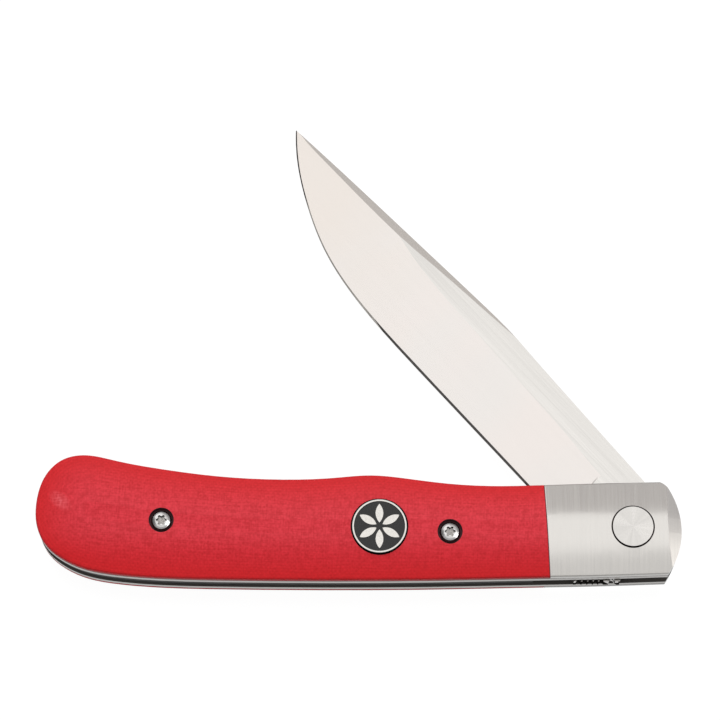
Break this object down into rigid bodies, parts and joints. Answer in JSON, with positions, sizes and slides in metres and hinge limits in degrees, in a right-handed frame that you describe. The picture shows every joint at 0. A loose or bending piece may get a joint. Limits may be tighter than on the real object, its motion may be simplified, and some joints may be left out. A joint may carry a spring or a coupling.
{
  "type": "folding pocket knife",
  "caption": "Folding pocket knife with a drop point blade on a pivot between steel liners, crowned composite scales, steel bolsters and a flipper tab.",
  "frame": {"origin": "on the blade's pivot axis, in the plane that the rear crown rests on", "axes": "+X from the butt towards the bolster's nose, +Y towards the side the blade opens from, +Z along the pivot axis towards the front scale with the badge"},
  "size_m": [0.1051, 0.0786, 0.0111],
  "materials": {
    "blade_steel": "satin, ground along and across",
    "bolster_steel": "brushed across the handle",
    "liner_steel": "fine ground edges",
    "red_scale": "milled woven-glass composite",
    "black_spacer": "matte",
    "pivot_steel": "turned",
    "washer_bronze": "plain",
    "pin_steel": "ground",
    "screw_steel": "polished",
    "badge_metal": "polished",
    "badge_black": "enamel"
  },
  "bodies": {
    "handle": {"front_liner": "liner_steel", "rear_liner": "liner_steel", "front_bolster": "bolster_steel", "rear_bolster": "bolster_steel", "front_scale": "red_scale", "rear_scale": "red_scale", "backspacer": "black_spacer", "pivot_barrel": "pivot_steel", "pivot_screw": "pivot_steel", "front_washer": "washer_bronze", "rear_washer": "washer_bronze", "stop_pin": "pin_steel", "detent_ball": "pin_steel", "badge": "badge_metal", "badge_enamel": "badge_black", "front_tail_screw": "screw_steel", "front_middle_screw": "screw_steel", "front_frame_screw_1": "screw_steel", "front_frame_screw_2": "screw_steel", "front_bolster_screw_1": "screw_steel", "front_bolster_screw_2": "screw_steel", "rear_tail_screw": "screw_steel", "rear_middle_screw": "screw_steel", "rear_frame_screw_1": "screw_steel", "rear_frame_screw_2": "screw_steel", "rear_bolster_screw_1": "screw_steel", "rear_bolster_screw_2": "screw_steel"},
    "blade": {"blade": "blade_steel"}
  },
  "joints": [
    {"name": "blade_pivot", "type": "hinge", "parent": "handle", "child": "blade", "pos_m": [0, 0, 0.00548], "axis": [0, 0, 1], "range_deg": [-132, 44]}
  ]
}
